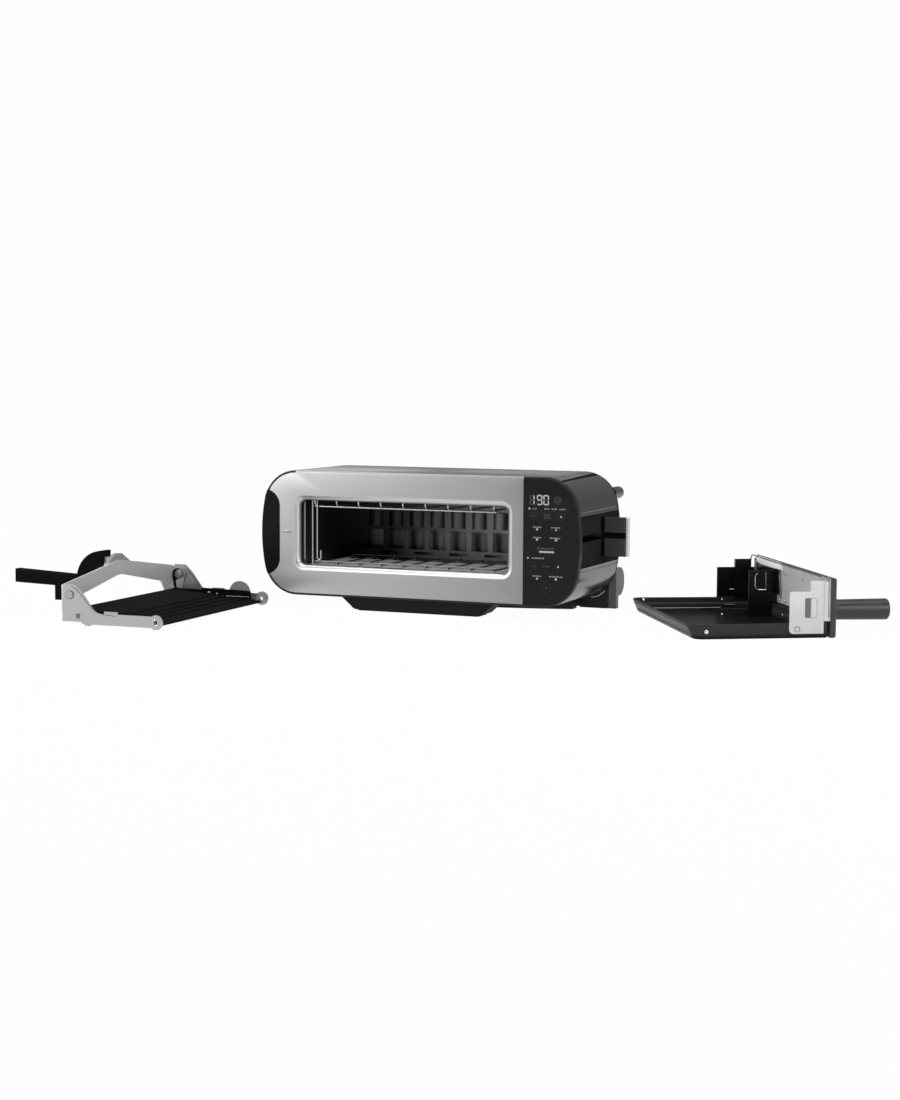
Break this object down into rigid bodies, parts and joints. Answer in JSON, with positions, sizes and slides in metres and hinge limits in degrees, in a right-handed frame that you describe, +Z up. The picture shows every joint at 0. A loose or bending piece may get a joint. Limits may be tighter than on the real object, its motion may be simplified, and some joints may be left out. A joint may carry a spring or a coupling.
{
  "type": "toaster grill",
  "caption": "Long-slot counter-top toaster grill on its back, steel front with a touch panel, a side lever, a hinged press insert and a shallow tray insert with a round handle.",
  "frame": {"origin": "on the worktop, midway below the case of the main unit", "axes": "+X to the right along the front, +Y away from the viewer, +Z up"},
  "size_m": [1.0698, 0.5202, 0.1785],
  "materials": {
    "frame_black": "fine grain",
    "bezel_steel": "brushed along X",
    "gloss_black": "polished",
    "panel_black": "glass-like",
    "display_black": "smoked, with pale digits",
    "board_green": "solder mask",
    "cover_steel": "satin",
    "inner_steel": "zinc plate",
    "liner_steel": "bright, heat tinted",
    "guard_wire": "plated",
    "heater_sheath": "oxidised",
    "ceramic": "unglazed",
    "rod_steel": "ground",
    "magnet_iron": "dark",
    "foot_rubber": "plain",
    "lobe_grey": "fine grain",
    "carriage_steel": "plain",
    "cap_silver": "satin",
    "tray_tin": "plain sheet",
    "press_steel": "satin",
    "coated_black": "non-stick coating",
    "plate_grey": "satin"
  },
  "bodies": {
    "case": {"front_frame": "frame_black", "front_bezel": "bezel_steel", "side_grip": "gloss_black", "control_panel": "panel_black", "display_window": "display_black", "control_board": "board_green", "top_cover": "cover_steel", "bottom_cover": "inner_steel", "left_end_cover": "gloss_black", "right_end_cover": "gloss_black", "rear_base": "frame_black", "cavity_liner": "liner_steel", "crumb_guide": "liner_steel", "upper_guard": "guard_wire", "lower_guard": "guard_wire", "upper_heater": "heater_sheath", "lower_heater": "heater_sheath", "heater_holders": "ceramic", "slot_rest": "guard_wire", "left_frame_plate": "inner_steel", "right_frame_plate": "inner_steel", "guide_rods": "rod_steel", "latch_magnet": "magnet_iron", "front_foot": "frame_black", "front_foot_pad": "foot_rubber", "under_skirt": "frame_black", "rear_foot_left": "frame_black", "rear_foot_right": "frame_black", "rear_foot_pads": "foot_rubber", "base_lobe_left": "lobe_grey", "base_lobe_right": "lobe_grey", "base_bumper_left": "frame_black", "base_bumper_right": "frame_black", "cord_gland": "foot_rubber", "case_screws": "rod_steel"},
    "lever": {"carriage": "carriage_steel", "lever_knob": "gloss_black", "lever_cap": "cap_silver"},
    "crumb_drawer": {"crumb_tray": "tray_tin", "crumb_tray_pull": "frame_black"},
    "press_base": {"press_side_near": "press_steel", "press_side_far": "press_steel", "press_lower_plate": "press_steel", "press_pivot_pins": "rod_steel"},
    "press_arm": {"press_yoke": "press_steel", "press_saddle": "press_steel", "press_handle": "frame_black"},
    "press_plate": {"press_upper_plate": "coated_black"},
    "press_wheel_near": {"press_roller_near": "press_steel"},
    "press_wheel_far": {"press_roller_far": "press_steel"},
    "tray_insert": {"grill_tray": "coated_black", "tray_bracket_near": "press_steel", "tray_bracket_far": "coated_black", "tray_bracket_inner": "coated_black", "tray_end_plate": "plate_grey", "tray_cover": "frame_black", "tray_wire_guard": "guard_wire", "tray_handle": "frame_black", "tray_rivets": "rod_steel"}
  },
  "joints": [
    {"name": "lever_slide", "type": "slide", "parent": "case", "child": "lever", "axis": [0, -1, 0], "range_m": [0, 0.078]},
    {"name": "crumb_drawer_slide", "type": "slide", "parent": "case", "child": "crumb_drawer", "axis": [-1, 0, 0], "range_m": [0, 0.3]},
    {"name": "press_lift", "type": "slide", "parent": "case", "child": "press_base", "axis": [-0.6, 0, 0.8], "range_m": [0, 0.2]},
    {"name": "press_arm_hinge", "type": "hinge", "parent": "press_base", "child": "press_arm", "pos_m": [-0.33738, -0.21977, 0.0368], "axis": [-0.0288, 0.9996, 0], "range_deg": [-70, 0]},
    {"name": "press_plate_tilt", "type": "hinge", "parent": "press_arm", "child": "press_plate", "pos_m": [-0.34228, -0.21991, 0.0094], "axis": [-0.0288, 0.9996, 0], "range_deg": [-12, 0]},
    {"name": "press_wheel_near_spin", "type": "hinge", "parent": "press_base", "child": "press_wheel_near", "pos_m": [-0.21475, -0.358, 0.0088], "axis": [-0.0288, 0.9996, 0], "continuous": true},
    {"name": "press_wheel_far_spin", "type": "hinge", "parent": "press_base", "child": "press_wheel_far", "pos_m": [-0.22291, -0.07472, 0.0088], "axis": [-0.0288, 0.9996, 0], "continuous": true},
    {"name": "tray_lift", "type": "slide", "parent": "case", "child": "tray_insert", "axis": [0, 0, 1], "range_m": [0, 0.2]}
  ]
}
